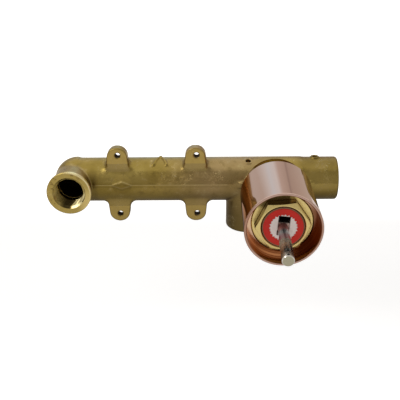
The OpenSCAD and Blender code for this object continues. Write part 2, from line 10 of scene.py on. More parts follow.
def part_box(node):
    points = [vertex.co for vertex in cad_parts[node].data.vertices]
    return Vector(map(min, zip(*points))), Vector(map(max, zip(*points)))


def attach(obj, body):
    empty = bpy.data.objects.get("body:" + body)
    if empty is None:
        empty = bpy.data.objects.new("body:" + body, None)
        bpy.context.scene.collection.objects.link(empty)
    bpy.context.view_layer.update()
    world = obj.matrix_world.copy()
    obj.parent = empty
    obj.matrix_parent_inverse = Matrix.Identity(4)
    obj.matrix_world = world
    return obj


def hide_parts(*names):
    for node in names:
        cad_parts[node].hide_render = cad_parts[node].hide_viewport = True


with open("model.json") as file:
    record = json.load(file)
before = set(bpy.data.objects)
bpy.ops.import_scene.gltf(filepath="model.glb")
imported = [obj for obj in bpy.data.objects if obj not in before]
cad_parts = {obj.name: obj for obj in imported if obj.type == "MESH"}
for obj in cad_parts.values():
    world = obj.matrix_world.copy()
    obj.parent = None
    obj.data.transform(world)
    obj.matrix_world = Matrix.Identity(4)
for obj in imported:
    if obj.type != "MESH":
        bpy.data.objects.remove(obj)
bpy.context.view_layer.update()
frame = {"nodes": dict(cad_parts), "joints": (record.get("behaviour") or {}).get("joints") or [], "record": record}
scene = bpy.context.scene
MM = 0.001

# Places and sizes: some taken from the imported record, the rest given
MOUNTS = {m["name"]: m for m in frame["record"]["mounts"]}
OUTLET_X = MOUNTS["spout_outlet"]["pos_m"][0]
HOT_X, TUBE_Y, _ = MOUNTS["hot_inlet"]["pos_m"]
OUTLET_REACH = 25.6 * MM
OUTLET_FACE_Y = TUBE_Y - OUTLET_REACH
OUTLET = Vector((OUTLET_X, OUTLET_FACE_Y, 0))
PIVOT = Vector(frame["joints"][0]["pos_m"])
LUG_HOLE_X = 26.3 * MM
LUG_HOLE_Z = 21 * MM
PARTING_Z = 1.3 * MM
LOZENGE_X = -24 * MM
LOZENGE_HALF_W = 7 * MM
LOZENGE_HALF_H = 2.4 * MM

# Camera, found by fitting the part's outline to the photograph
FRAME_PX = 400
FOCAL_PX = 719.7
AZIMUTH = math.radians(-0.886)
ELEVATION = math.radians(23.362)
ROLL = math.radians(-0.666)
DISTANCE = 0.50185
TARGET = Vector((0.02811, 0.0045, -0.01617))

# Studio cards: radius of the round wall and level of the floor cards
STUDIO_R = 1.2
BOARD_Z = -0.12

# Half-inch pipe thread
PIPE_PITCH = 1.814 * MM
PIPE_CREST_R = 9.315 * MM
PIPE_ROOT_R = 10.478 * MM
PIPE_MOUTH_R = 10.78 * MM
PORT_SLEEVE_R = 11.3 * MM
THREAD_DEPTH = 12.6 * MM

# A punched dimple on the lever pin, at rest; only its painted shade is drawn
PIN_DIMPLE = (0.0777, -0.1076, -0.0003)

# Cartridge nut: heights are measured back from its front face
NUT_HEX = 29 * MM
NUT_TURN = 4
NUT_CHAMFER = 24
NUT_FACE_R = 13.95 * MM
NUT_HEX_H = 7.1 * MM
NUT_BORE_R = 13 * MM
NUT_FLANGE_R = 18.5 * MM
NUT_FLANGE_BACK = 9.25 * MM
NUT_THREAD_R = 17.95 * MM
NUT_STEPS = 180
LIP_TEETH = 26
LIP_TIP_R = 7.6 * MM
LIP_ROOT_R = 8.7 * MM
LIP_SEAT_R = 8.8 * MM
LIP_R = 11.95 * MM
LIP_CLEAR = 0.01 * MM
LIP_THICK = 0.1 * MM
nut_low, nut_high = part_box("cartridge_nut")
NUT_BACK = nut_high.y - nut_low.y


def add_camera():
    forward = Vector((
        math.sin(AZIMUTH) * math.cos(ELEVATION),
        math.cos(AZIMUTH) * math.cos(ELEVATION),
        -math.sin(ELEVATION),
    ))
    right = Vector((math.cos(AZIMUTH), -math.sin(AZIMUTH), 0))
    up = right.cross(forward)
    rolled_right = right * math.cos(ROLL) + up * math.sin(ROLL)
    rolled_up = up * math.cos(ROLL) - right * math.sin(ROLL)
    data = bpy.data.cameras.new("camera")
    data.sensor_width = 36
    data.lens = data.sensor_width * FOCAL_PX / FRAME_PX
    data.clip_start = 0.01
    camera = bpy.data.objects.new("camera", data)
    place = Matrix((rolled_right, rolled_up, -forward)).transposed().to_4x4()
    place.translation = TARGET - forward * DISTANCE
    camera.matrix_world = place
    scene.collection.objects.link(camera)
    scene.camera = camera


class Shader:
    """Short calls for building one material's node tree."""

    def __init__(self, name):
        self.material = bpy.data.materials.new(name)
        self.material.use_nodes = True
        self.tree = self.material.node_tree
        self.nodes = self.tree.nodes
        self.bsdf = self.nodes["Principled BSDF"]
        self.place = self.node("ShaderNodeTexCoord").outputs["Object"]

    def node(self, kind, **settings):
        made = self.nodes.new(kind)
        for key, value in settings.items():
            setattr(made, key, value)
        return made

    def join(self, source, target):
        self.tree.links.new(source, target)
        return source

    def noise(self, scale, detail=4.0, roughness=0.55, distortion=0.0, place=None):
        made = self.node("ShaderNodeTexNoise")
        made.inputs["Scale"].default_value = scale
        made.inputs["Detail"].default_value = detail
        made.inputs["Roughness"].default_value = roughness
        made.inputs["Distortion"].default_value = distortion
        self.join(place or self.place, made.inputs["Vector"])
        return made.outputs["Fac"]

    def scaled(self, x=1.0, y=1.0, z=1.0, turn=(0, 0, 0), shift=(0, 0, 0)):
        made = self.node("ShaderNodeMapping")
        made.inputs["Scale"].default_value = (x, y, z)
        made.inputs["Rotation"].default_value = turn
        made.inputs["Location"].default_value = shift
        self.join(self.place, made.inputs["Vector"])
        return made.outputs["Vector"]

    def axes(self):
        made = self.node("ShaderNodeSeparateXYZ")
        self.join(self.place, made.inputs["Vector"])
        return made.outputs

    def ramp(self, value, low, high, out_low=0.0, out_high=1.0, smooth=True):
        made = self.node("ShaderNodeMapRange")
        made.interpolation_type = "SMOOTHSTEP" if smooth else "LINEAR"
        made.inputs["From Min"].default_value = low
        made.inputs["From Max"].default_value = high
        made.inputs["To Min"].default_value = out_low
        made.inputs["To Max"].default_value = out_high
        self.join(value, made.inputs["Value"])
        return made.outputs["Result"]

    def math(self, kind, a, b=None, clamp=False):
        made = self.node("ShaderNodeMath", operation=kind, use_clamp=clamp)
        for value, slot in ((a, made.inputs[0]), (b, made.inputs[1])):
            if value is None:
                continue
            if isinstance(value, (int, float)):
                slot.default_value = value
            else:
                self.join(value, slot)
        return made.outputs[0]

    def all_of(self, *masks):
        """Product of masks."""
        made = masks[0]
        for mask in masks[1:]:
            made = self.math("MULTIPLY", made, mask)
        return made

    def mix(self, amount, a, b):
        made = self.node("ShaderNodeMix", data_type="RGBA")
        for value, slot in ((amount, made.inputs[0]), (a, made.inputs[6]), (b, made.inputs[7])):
            if isinstance(value, (int, float)):
                slot.default_value = value
            elif isinstance(value, tuple):
                slot.default_value = (*value, 1)
            else:
                self.join(value, slot)
        return made.outputs[2]

    def bump(self, height, distance, strength=1.0, under=None):
        made = self.node("ShaderNodeBump")
        made.inputs["Distance"].default_value = distance
        made.inputs["Strength"].default_value = strength
        self.join(height, made.inputs["Height"])
        if under is not None:
            self.join(under, made.inputs["Normal"])
        return made.outputs["Normal"]

    def set(self, **inputs):
        for key, value in inputs.items():
            slot = self.bsdf.inputs[key.replace("_", " ")]
            if isinstance(value, (int, float)):
                slot.default_value = value
            elif isinstance(value, tuple):
                slot.default_value = (*value, 1) if len(value) == 3 else value
            else:
                self.join(value, slot)
        return self.material


def cast_brass():
    """Tumbled casting: olive and rosy areas, blotches, pale veins; painted light on the lug pads and some areas,
    painted shade on others, by the arm, behind the shroud, in the lug bores and in the ways.
    """
    s = Shader("cast_brass")
    x, y, z = s.axes()
    warm = s.noise(38, 5, 0.6)
    blotch = s.noise(150, 4, 0.65)
    rosy_area = s.math("MULTIPLY", s.ramp(x, -0.004, 0.035), s.ramp(x, 0.085, 0.060))
    rosy_area = s.math("MAXIMUM", s.math("MULTIPLY", rosy_area, 0.85), s.math("MULTIPLY", on_arm(s), 0.5))
    olive = s.mix(s.ramp(warm, 0.35, 0.65), (0.288, 0.203, 0.044), (0.370, 0.260, 0.067))
    rosy = s.mix(s.ramp(warm, 0.35, 0.65), (0.300, 0.207, 0.080), (0.370, 0.256, 0.116))
    base = s.mix(rosy_area, olive, rosy)
    base = s.mix(s.math("MULTIPLY", on_arm(s), 0.35), base, (0.43, 0.33, 0.135))
    base = s.mix(s.ramp(blotch, 0.44, 0.30, 0.0, 0.45), base, (0.200, 0.135, 0.045))
    base = s.mix(s.ramp(blotch, 0.57, 0.70, 0.0, 0.50), base, (0.480, 0.370, 0.165))
    # Painted shade: darker low down right of x = 40 mm, and a little at the far right end.
    shaded_far_end = s.math("MAXIMUM", s.ramp(x, 0.092, 0.104, 0.0, 0.12), s.ramp(z, -0.010, -0.024, 0.0, 0.65))
    base = s.mix(s.math("MULTIPLY", shaded_far_end, s.ramp(x, 0.040, 0.044)), base, (0.150, 0.105, 0.035))
    # Painted light: paler areas on the upper front left, low on the left and midway up the right end.
    left_front = s.all_of(
        s.ramp(x, -0.044, -0.036), s.ramp(x, -0.002, -0.014), s.ramp(z, 0.001, 0.004), s.ramp(z, 0.014, 0.009),
    )
    left_low = s.all_of(s.ramp(x, 0.012, -0.004), s.ramp(z, -0.004, -0.009))
    right_mid = s.all_of(s.ramp(x, 0.092, 0.098), s.ramp(s.math("ABSOLUTE", s.math("SUBTRACT", z, 0.003)), 0.008, 0.003))
    pale = s.math("MAXIMUM", s.math("MAXIMUM", left_front, right_mid), s.math("MULTIPLY", left_low, 0.7))
    base = s.mix(s.math("MULTIPLY", pale, 0.55), base, (0.46, 0.345, 0.105))
    # Painted shade: darker low on the right, at the top of the right end and at the left lug's tip.
    right_low = s.all_of(s.ramp(x, 0.020, 0.110, 0.25, 0.60), s.ramp(z, -0.002, -0.009))
    right_top = s.all_of(s.ramp(x, 0.090, 0.098), s.ramp(z, 0.009, 0.013), 0.40)
    lug_tip = s.all_of(s.ramp(x, 0.0, -0.005), s.ramp(z, 0.0250, 0.0275), 0.50)
    painted_shade = s.math("MAXIMUM", s.math("MAXIMUM", right_low, right_top), lug_tip)
    base = s.mix(painted_shade, base, (0.155, 0.105, 0.030))
    # Painted light on the lugs' flat front faces: lighter below the pads, lighter still on them, more on the upper
    # lugs.
    lit_under_pads = s.math("MULTIPLY", lug_faces(s, 0.0095), s.ramp(z, -0.001, 0.001, 0.35, 0.80))
    base = s.mix(lit_under_pads, base, (0.46, 0.34, 0.125))
    pads = s.math("MULTIPLY", lug_faces(s, 0.0150), s.ramp(z, -0.001, 0.001, 0.55, 0.90))
    base = s.mix(pads, base, (0.565, 0.405, 0.118))
    veins = pale_veins(s)
    base = s.mix(s.math("MULTIPLY", veins, 0.60), base, (0.66, 0.54, 0.29))
    # Painted highlight along the parting ridge and round the lozenge, and a painted shadow just under it.
    base = s.mix(s.math("MULTIPLY", parting_marks(s, PARTING_Z, 0.0004), 0.40), base, (0.62, 0.50, 0.24))
    base = s.mix(s.math("MULTIPLY", parting_marks(s, PARTING_Z - 0.0015, 0.0005), 0.25), base, (0.12, 0.09, 0.03))
    # Painted shade in the crease beside the arm.
    crease_shade = s.math("MULTIPLY", s.ramp(x, -0.0465, -0.0445), s.ramp(x, -0.0395, -0.0425))
    crease_shade = s.math("MULTIPLY", crease_shade, s.ramp(y, -0.003, -0.007))
    crease_shade = s.math("MULTIPLY", crease_shade, s.ramp(z, 0.012, 0.007))
    base = s.mix(s.math("MULTIPLY", crease_shade, 0.40), base, (0.13, 0.09, 0.028))
    # Painted shade on the collar behind the shroud: a darker colour and a darker reflection tint.
    shaded_collar = s.math("MULTIPLY", s.ramp(y, -0.0100, -0.0125), s.ramp(z, 0.013, 0.016))
    shaded_collar = s.math("MULTIPLY", shaded_collar, s.ramp(x, 0.040, 0.045))
    base = s.mix(s.math("MULTIPLY", shaded_collar, 0.55), base, (0.16, 0.110, 0.035))
    shaded_edge_tint = s.mix(shaded_collar, (1.0, 1.0, 1.0), (0.25, 0.16, 0.07))
    # Painted shade inside the waterways.
    base = s.mix(shaded_ways(s), base, (0.020, 0.014, 0.005))
    # Painted shade inside the lug holes.
    hole_x = s.math("SUBTRACT", s.math("ABSOLUTE", x), LUG_HOLE_X)
    hole_z = s.math("SUBTRACT", s.math("ABSOLUTE", z), LUG_HOLE_Z)
    hole_shade = s.all_of(near_line(s, hole_x, hole_z, 0.0018), s.ramp(y, -0.0064, -0.0048))
    base = s.mix(s.math("MULTIPLY", hole_shade, 0.9), base, (0.05, 0.03, 0.012))
    grain = s.bump(s.noise(1000, 3, 0.6), 0.00006, 0.5)
    lumps = s.bump(s.noise(170, 4, 0.6), 0.00030, 0.5, grain)
    dents = s.bump(veins, 0.00010, 0.6, lumps)
    rough = s.ramp(s.noise(240, 3), 0.3, 0.7, 0.26, 0.38)
    rough = s.math("ADD", rough, s.math("MULTIPLY", s.math("MAXIMUM", hole_shade, shaded_ways(s)), 0.5))
    by_lozenge = near_line(s, s.math("SUBTRACT", x, LOZENGE_X), s.math("SUBTRACT", z, PARTING_Z), 0.0065)
    rough = s.math("ADD", rough, s.all_of(by_lozenge, s.ramp(y, TUBE_Y - 0.012, TUBE_Y - 0.013), 0.25))
    return s.set(Base_Color=base, Metallic=1.0, Roughness=rough, Normal=dents, Specular_Tint=shaded_edge_tint)


def on_arm(s):
    """Mask of the arm between the elbow and the outlet."""
    x, y, z = s.axes()
    near = near_line(s, s.math("SUBTRACT", x, OUTLET_X), z, 0.0136)
    return s.math("MULTIPLY", near, s.ramp(y, -0.001, -0.005))


def lug_faces(s, low):
    """Mask of the lugs' flat faces, from a height over the axis up."""
    x, y, z = s.axes()
    facing = s.node("ShaderNodeSeparateXYZ")
    s.join(s.node("ShaderNodeNewGeometry").outputs["Normal"], facing.inputs[0])
    mask = s.math("MULTIPLY", s.ramp(s.math("ABSOLUTE", z), low, low + 0.0005), s.ramp(y, 0.002, 0.001))
    mask = s.math("MULTIPLY", mask, s.ramp(x, 0.040, 0.036))
    mask = s.math("MULTIPLY", mask, s.ramp(y, -0.0078, -0.0072))
    return s.math("MULTIPLY", mask, s.ramp(facing.outputs["Y"], -0.85, -0.97))


def pale_veins(s):
    """Mask of thin pale veins and chips, in patches along the tube."""
    level = s.math("ABSOLUTE", s.math("SUBTRACT", s.noise(170, 4, 0.7, 1.2), 0.5))
    veins = s.ramp(level, 0.014, 0.004, 0.0, 0.6)
    chips = s.ramp(s.noise(640, 4, 0.7, 0.5), 0.60, 0.67)
    patches = s.ramp(s.noise(75, 4, 0.65), 0.50, 0.62)
    x, y, z = s.axes()
    off_lozenge = near_line(s, s.math("SUBTRACT", x, LOZENGE_X), s.math("SUBTRACT", z, PARTING_Z), 0.0075)
    patches = s.math("MULTIPLY", patches, s.math("SUBTRACT", 1.0, off_lozenge))
    return s.math("MULTIPLY", s.math("MAXIMUM", veins, chips), patches)


def parting_marks(s, height, half):
    """Mask of a line along the tube's front and round the lozenge on it."""
    x, y, z = s.axes()
    off_line = s.math("ABSOLUTE", s.math("SUBTRACT", z, height))
    line = s.ramp(off_line, half, 0.4 * half)
    along = s.math("ABSOLUTE", s.math("SUBTRACT", x, LOZENGE_X))
    rim = s.math("ADD", s.math("MULTIPLY", along, 1 / LOZENGE_HALF_W), s.math("MULTIPLY", off_line, 1 / LOZENGE_HALF_H))
    inside = s.ramp(rim, 1.1, 1.0)
    rim = s.ramp(s.math("ABSOLUTE", s.math("SUBTRACT", rim, 1.0)), 0.22, 0.08)
    line = s.math("MAXIMUM", s.math("MULTIPLY", line, s.math("SUBTRACT", 1.0, inside)), rim)
    line = s.math("MULTIPLY", line, s.ramp(y, TUBE_Y - 0.0125, TUBE_Y - 0.0135))
    return s.math("MULTIPLY", line, s.ramp(x, 0.048, 0.046))


def near_line(s, a, b, radius):
    """Mask of 1 within a radius of the line where coordinates a and b are both 0."""
    squares = s.math("ADD", s.math("MULTIPLY", a, a), s.math("MULTIPLY", b, b))
    return s.ramp(s.math("SQRT", squares), radius + 0.0004, radius)


def shaded_ways(s):
    """Mask of the waterways, painted dark as shade."""
    x, y, z = s.axes()
    from_tube = s.math("SUBTRACT", y, TUBE_Y)
    tube = near_line(s, from_tube, z, 0.0095)
    tube = s.math("MULTIPLY", tube, s.ramp(x, OUTLET_X - 0.0095, OUTLET_X - 0.009))
    outlet = near_line(s, s.math("SUBTRACT", x, OUTLET_X), z, 0.0098)
    outlet = s.math("MULTIPLY", outlet, s.ramp(y, TUBE_Y + 0.0080, TUBE_Y + 0.0070))
    outlet = s.math("MULTIPLY", outlet, s.ramp(y, OUTLET_FACE_Y + 0.0150, OUTLET_FACE_Y + 0.0160))
    hot = near_line(s, s.math("SUBTRACT", x, HOT_X), from_tube, 0.0120)
    hot = s.math("MULTIPLY", hot, s.ramp(z, 0.0020, 0.0010))
    return s.math("MAXIMUM", s.math("MAXIMUM", tube, outlet), hot)


def turned(s, centre, axis, scale, depth):
    """Bump of fine turning lines round an axis that is parallel to X, Y or Z."""
    rings = s.node("ShaderNodeTexWave", wave_type="RINGS", rings_direction=axis.upper())
    rings.inputs["Scale"].default_value = scale
    rings.inputs["Distortion"].default_value = 0.6
    rings.inputs["Detail"].default_value = 2
    s.join(s.scaled(shift=tuple(-c for c in centre)), rings.inputs["Vector"])
    return rings.outputs["Fac"], s.bump(rings.outputs["Fac"], depth, 0.5)


def turned_brass(name, base, roughness, centre, axis):
    """Machined brass with fine lines round an axis that is parallel to X, Y or Z."""
    s = Shader(name)
    lines, normal = turned(s, centre, axis, 420, 0.000012)
    tone = s.mix(s.math("MULTIPLY", lines, 0.35), base, tuple(0.80 * c for c in base))
    stain = s.ramp(s.noise(260, 4, 0.65), 0.62, 0.74, 0.0, 0.6)
    tone = s.mix(stain, tone, tuple(0.45 * c for c in base))
    return s.set(
        Base_Color=tone, Metallic=1.0, Normal=normal,
        Roughness=s.ramp(s.noise(500, 3), 0.3, 0.7, roughness, roughness + 0.08),
    )


def nut_brass():
    """Pale turned nut; painted shade on the hexagon's sides and on the flange's top behind it."""
    s = Shader("nut_brass")
    x, y, z = s.axes()
    lines, normal = turned(s, PIVOT, "y", 420, 0.000012)
    bright = s.mix(s.math("MULTIPLY", lines, 0.35), (0.97, 0.775, 0.32), (0.82, 0.64, 0.25))
    bright = s.mix(s.ramp(s.noise(260, 4, 0.65), 0.60, 0.74, 0.0, 0.6), bright, (0.42, 0.31, 0.11))
    # Painted shade on the hexagon's sides, stronger to the left.
    facing = s.node("ShaderNodeSeparateXYZ")
    s.join(s.node("ShaderNodeNewGeometry").outputs["True Normal"], facing.inputs[0])
    shaded_flats = s.ramp(s.math("ABSOLUTE", facing.outputs["Y"]), 0.75, 0.55)
    shaded_flats = s.math("MULTIPLY", shaded_flats, s.ramp(x, PIVOT.x + 0.013, PIVOT.x + 0.004, 0.45, 0.85))
    tone = s.mix(shaded_flats, bright, (0.15, 0.11, 0.035))
    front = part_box("cartridge_nut")[0].y
    # Painted shade on the top of the flange, under the shroud.
    shaded_above = s.math("MULTIPLY", s.ramp(z, PIVOT.z + 0.0085, PIVOT.z + 0.0115), s.ramp(y, front + 0.0012, front + 0.0020))
    shaded_above = s.math("MULTIPLY", shaded_above, s.ramp(x, PIVOT.x + 0.0052, PIVOT.x + 0.0032, 0.0, 0.85))
    return s.set(
        Base_Color=s.mix(shaded_above, tone, (0.17, 0.115, 0.042)), Metallic=1.0, Normal=normal,
        Roughness=s.ramp(s.noise(500, 3), 0.3, 0.7, 0.20, 0.28),
    )


def outlet_brass():
    """Machined outlet: pale turned face with a painted highlight on its edge and painted light on its right; in the
    bore, painted shade deepening inward, a painted sunlit patch and a painted shadow beside it.
    """
    s = Shader("outlet_brass")
    x, y, z = s.axes()
    across = s.math("SUBTRACT", x, OUTLET_X)
    depth = s.math("SUBTRACT", y, OUTLET_FACE_Y)
    radius = s.math("SQRT", s.math("ADD", s.math("MULTIPLY", across, across), s.math("MULTIPLY", z, z)))
    lines, normal = turned(s, OUTLET, "y", 520, 0.000010)
    base = s.mix(s.math("MULTIPLY", lines, 0.25), (0.55, 0.41, 0.120), (0.43, 0.315, 0.088))
    base = s.mix(s.ramp(s.noise(110, 3, 0.6), 0.55, 0.70, 0.0, 0.6), base, (0.70, 0.55, 0.22))
    base = s.mix(s.ramp(s.noise(210, 4, 0.6), 0.60, 0.68, 0.0, 0.8), base, (0.26, 0.17, 0.05))
    # Painted highlight on the face's outer edge, to the upper right.
    upper_right = s.math("ADD", s.math("MULTIPLY", across, 0.9), s.math("MULTIPLY", z, 0.4))
    edge = s.math("MULTIPLY", s.ramp(radius, 0.0134, 0.0140), s.ramp(upper_right, 0.002, 0.009))
    base = s.mix(s.math("MULTIPLY", edge, 0.9), base, (0.98, 0.84, 0.46))
    lit = s.math("MULTIPLY", s.ramp(across, 0.004, 0.011), s.ramp(z, 0.006, -0.003))
    base = s.mix(s.math("MULTIPLY", lit, 0.75), base, (0.90, 0.70, 0.27))
    bore = s.ramp(radius, PIPE_MOUTH_R + 0.0002, PIPE_MOUTH_R)
    # Painted shade in the bore, darker with depth and in the thread's roots.
    depth_shade = s.math("MULTIPLY", bore, s.ramp(depth, 0.001, 0.013, 0.10, 0.9))
    base = s.mix(s.math("MULTIPLY", depth_shade, s.ramp(radius, 0.0094, 0.0099, 0.5, 1.0)), base, (0.13, 0.09, 0.03))
    lit_from = s.math("ADD", s.math("MULTIPLY", depth, 0.17), 0.0006)
    past = s.math("SUBTRACT", across, lit_from)
    sunlit = s.math("MULTIPLY", s.math("MULTIPLY", bore, s.ramp(past, 0.0, 0.0005)), s.ramp(z, 0.001, -0.003))
    base = s.mix(sunlit, base, (0.96, 0.82, 0.42))
    # Painted shadow on the bore's lower left, beside the painted sunlit patch.
    bore_shadow = s.math("MULTIPLY", bore, s.ramp(past, 0.0, -0.0005))
    bore_shadow = s.math("MULTIPLY", bore_shadow, s.ramp(z, 0.003, -0.003))
    bore_shadow = s.math("MULTIPLY", bore_shadow, s.ramp(across, -0.0075, -0.0035, 0.35, 0.95))
    base = s.mix(bore_shadow, base, (0.045, 0.032, 0.012))
    return s.set(
        Base_Color=base, Metallic=1.0, Normal=normal,
        Roughness=s.ramp(s.noise(600, 3), 0.3, 0.7, 0.24, 0.32),
    )


def rose_gold():
    """Mirror plating with painted darker reflections on its flanks; inside, the banded copper bore under it, with
    painted shade on its right side and near its front.
    """
    s = Shader("rose_gold")
    x, y, z = s.axes()
    across = s.math("SUBTRACT", x, PIVOT.x)
    haze = s.noise(30, 3)
    plated = s.mix(haze, (0.64, 0.435, 0.355), (0.69, 0.470, 0.390))
    # Painted shade: darker plating and a darker reflection tint on the flanks.
    shaded_flank = s.math("MAXIMUM", s.ramp(across, -0.0165, -0.0205), s.ramp(across, 0.0165, 0.0205, 0.0, 0.5))
    plated = s.mix(s.math("MULTIPLY", shaded_flank, 0.9), plated, (0.52, 0.290, 0.200))
    shaded_edge_tint = s.mix(s.all_of(shaded_flank, s.ramp(z, -0.005, 0.001)), (1.0, 1.0, 1.0), (0.53, 0.34, 0.22))
    streaks = s.noise(70, 3, 0.7, place=s.scaled(0.10, 7, 0.10))
    bare = s.mix(s.ramp(streaks, 0.38, 0.50), (0.24, 0.080, 0.030), (0.95, 0.64, 0.42))
    # Painted shade on the bore's right and lower side, and near its front rim.
    shaded_side = s.math("MULTIPLY", s.ramp(across, -0.002, 0.012), s.ramp(z, 0.018, 0.006))
    shaded_side = s.math("MAXIMUM", shaded_side, s.math("MULTIPLY", s.ramp(y, -0.0690, -0.0720), 0.8))
    bare = s.mix(s.math("MULTIPLY", shaded_side, 0.88), bare, (0.20, 0.055, 0.015))
    bore = near_line(s, across, z, 0.0220)
    shaded_edge_tint = s.mix(bore, shaded_edge_tint, (0.72, 0.46, 0.34))
    rough_plate = s.ramp(s.noise(90, 4), 0.3, 0.7, 0.035, 0.065)
    return s.set(
        Base_Color=s.mix(bore, plated, bare), Metallic=1.0, Specular_Tint=shaded_edge_tint,
        Roughness=s.math("ADD", rough_plate, s.math("MULTIPLY", bore, 0.10)),
        Normal=s.bump(s.noise(60, 1), 0.0003, 0.04),
    )


def steel(name, base, roughness):
    s = Shader(name)
    streaks = s.noise(500, 3, place=s.scaled(1, 8, 1))
    return s.set(
        Base_Color=s.mix(s.ramp(streaks, 0.3, 0.7), tuple(0.85 * c for c in base), base),
        Metallic=1.0, Roughness=s.ramp(streaks, 0.3, 0.7, roughness, roughness + 0.06),
        Normal=s.bump(streaks, 0.00002, 0.25),
    )


def stem_steel():
    """Satin steel of the stem: clean in front, painted dark as shade inside the slot."""
    s = Shader("stem_steel")
    x, y, z = s.axes()
    streaks = s.ramp(s.noise(500, 3, place=s.scaled(1, 8, 1)), 0.3, 0.7)
    clean = s.mix(streaks, (0.76, 0.60, 0.52), (0.90, 0.72, 0.63))
    # Painted shade on the stem inside the slot.
    return s.set(
        Base_Color=s.mix(s.ramp(y, -0.0716, -0.0704), clean, (0.05, 0.038, 0.034)), Metallic=0.5,
        Roughness=s.ramp(streaks, 0.0, 1.0, 0.26, 0.32), Normal=s.bump(streaks, 0.00002, 0.25),
    )


def tapered_steel():
    """Steel of the lever: dark near its root, clean towards its tip; painted highlights on the root's right side and
    the tip's rim, a painted red reflection just under the ring and a painted shade spot.
    """
    s = Shader("lever_steel")
    x, y, z = s.axes()
    streaks = s.ramp(s.noise(420, 3, place=s.scaled(1, 0.12, 1)), 0.35, 0.65)
    root = s.mix(streaks, (0.09, 0.10, 0.10), (0.36, 0.38, 0.38))
    # Painted highlight down the root's right side.
    right = s.ramp(x, PIVOT.x + 0.0005, PIVOT.x + 0.0030, 0.0, 0.45)
    root = s.mix(right, root, (0.64, 0.63, 0.62))
    tip = s.mix(streaks, (0.62, 0.59, 0.50), (0.80, 0.77, 0.67))
    facing = s.node("ShaderNodeSeparateXYZ")
    s.join(s.node("ShaderNodeNewGeometry").outputs["Normal"], facing.inputs[0])
    # Painted highlight on the tip's rounded rim.
    tip = s.mix(s.ramp(facing.outputs["Y"], -0.25, -0.45), tip, (0.97, 0.94, 0.85))
    tip = s.mix(s.ramp(facing.outputs["Y"], -0.90, -0.97), tip, (0.53, 0.50, 0.36))
    # Painted reflection of the red ring on the pin's neck.
    neck_reflection = s.ramp(y, -0.0815, -0.0775)
    root = s.mix(neck_reflection, root, (0.38, 0.15, 0.13))
    tone = s.mix(s.ramp(y, -0.086, -0.103), root, tip)
    # Painted shade of the dimple, which is not modelled.
    dimple_shade = s.node("ShaderNodeVectorMath", operation="DISTANCE")
    s.join(s.place, dimple_shade.inputs[0])
    dimple_shade.inputs[1].default_value = PIN_DIMPLE
    dimple_shade = s.ramp(dimple_shade.outputs["Value"], 0.00095, 0.00070)
    tone = s.mix(dimple_shade, tone, (0.02, 0.018, 0.015))
    return s.set(
        Base_Color=tone, Metallic=s.ramp(y, -0.086, -0.103, 0.6, 1.0),
        Roughness=s.math("ADD", s.ramp(streaks, 0.0, 1.0, 0.12, 0.20),
                         s.math("MAXIMUM", s.math("MULTIPLY", dimple_shade, 0.5), s.math("MULTIPLY", neck_reflection, 0.25))),
        Normal=s.bump(streaks, 0.00002, 0.25),
    )


def plastic(name, base, roughness, grain=0.25, gloss=0.5):
    s = Shader(name)
    cloud = s.noise(220, 4)
    return s.set(
        Base_Color=s.mix(s.ramp(cloud, 0.3, 0.7), tuple(0.9 * c for c in base), base),
        Roughness=s.ramp(cloud, 0.3, 0.7, roughness, roughness + 0.12),
        Normal=s.bump(s.noise(1400, 3), 0.00003, grain), Specular_IOR_Level=gloss,
    )


def guide_white():
    """White guide; its slot is painted dark as shade from a little under the face, in its upper part."""
    s = Shader("guide_white")
    x, y, z = s.axes()
    cloud = s.ramp(s.noise(220, 4), 0.3, 0.7)
    white = s.mix(cloud, (0.94, 0.83, 0.79), (0.99, 0.90, 0.86))
    face_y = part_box("lever_guide")[0].y
    # Painted shade in the slot's upper part.
    deep = s.ramp(y, face_y + 0.0006, face_y + 0.0022)
    near = near_line(s, s.math("SUBTRACT", x, PIVOT.x), z, 0.0076)
    near = s.math("MULTIPLY", near, s.ramp(z, 0.0005, 0.0025))
    return s.set(
        Base_Color=s.mix(s.math("MULTIPLY", deep, near), white, (0.05, 0.04, 0.035)),
        Roughness=s.ramp(cloud, 0.0, 1.0, 0.32, 0.42),
        Normal=s.bump(s.noise(1400, 3), 0.00003, 0.25),
    )


def linked(name, mesh):
    made = bpy.data.objects.new(name, mesh)
    scene.collection.objects.link(made)
    return made


def evaluated(piece):
    """The piece's mesh with its modifiers applied, which then come off."""
    graph = bpy.context.evaluated_depsgraph_get()
    mesh = bpy.data.meshes.new_from_object(piece.evaluated_get(graph))
    piece.modifiers.clear()
    old = piece.data
    piece.data = mesh
    bpy.data.meshes.remove(old)


def axis_frame(origin, axis):
    """Matrix that puts local +Z on an axis that leaves the part, with its origin on the face."""
    turn = Vector((0, 0, 1)).rotation_difference(Vector(axis)).to_matrix().to_4x4()
    return Matrix.Translation(origin) @ turn


def lathe(name, profile, place, segments=96):
    """Closed ring from (radius, height) points, turned round local +Z."""
    columns = []
    for step in range(segments):
        angle = math.tau * step / segments
        columns.append([
            place @ Vector((r * math.cos(angle), r * math.sin(angle), h)) for r, h in profile
        ])
    return ring_mesh(name, columns)


def ring_mesh(name, columns):
    """Closed ring mesh from columns of points, one column for each step round the axis."""
    mesh = bmesh.new()
    made = [[mesh.verts.new(point) for point in column] for column in columns]
    for a, b in zip(made, made[1:] + made[:1]):
        for i in range(len(a)):
            j = (i + 1) % len(a)
            mesh.faces.new((a[i], b[i], b[j], a[j]))
    bmesh.ops.recalc_face_normals(mesh, faces=mesh.faces)
    data = bpy.data.meshes.new(name)
    mesh.to_mesh(data)
    mesh.free()
    return linked(name, data)


